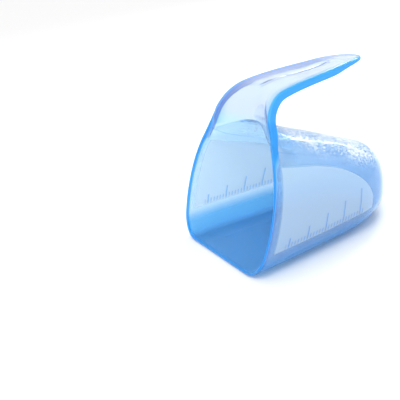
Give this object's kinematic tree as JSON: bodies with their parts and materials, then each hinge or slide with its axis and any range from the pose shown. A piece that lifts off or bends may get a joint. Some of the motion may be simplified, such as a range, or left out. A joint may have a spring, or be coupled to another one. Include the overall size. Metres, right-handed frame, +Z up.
{
  "type": "washing powder measuring scoop",
  "caption": "Large translucent moulded scoop for washing powder, with a deep rounded cup and a broad handle that rises from the rim and bends back over the cup.",
  "frame": {"origin": "centre of the scoop's bounding box at the height of the surface that it lies on", "axes": "+Z up, +X from the mouth towards the cup's closed end, along the handle's grip; +Y across the scoop"},
  "size_m": [0.1284, 0.1156, 0.1022],
  "materials": {
    "translucent_polypropylene": "glossy pale blue translucent polypropylene, frosted side panels"
  },
  "bodies": {
    "root": {"scoop": "translucent_polypropylene"}
  },
  "joints": []
}
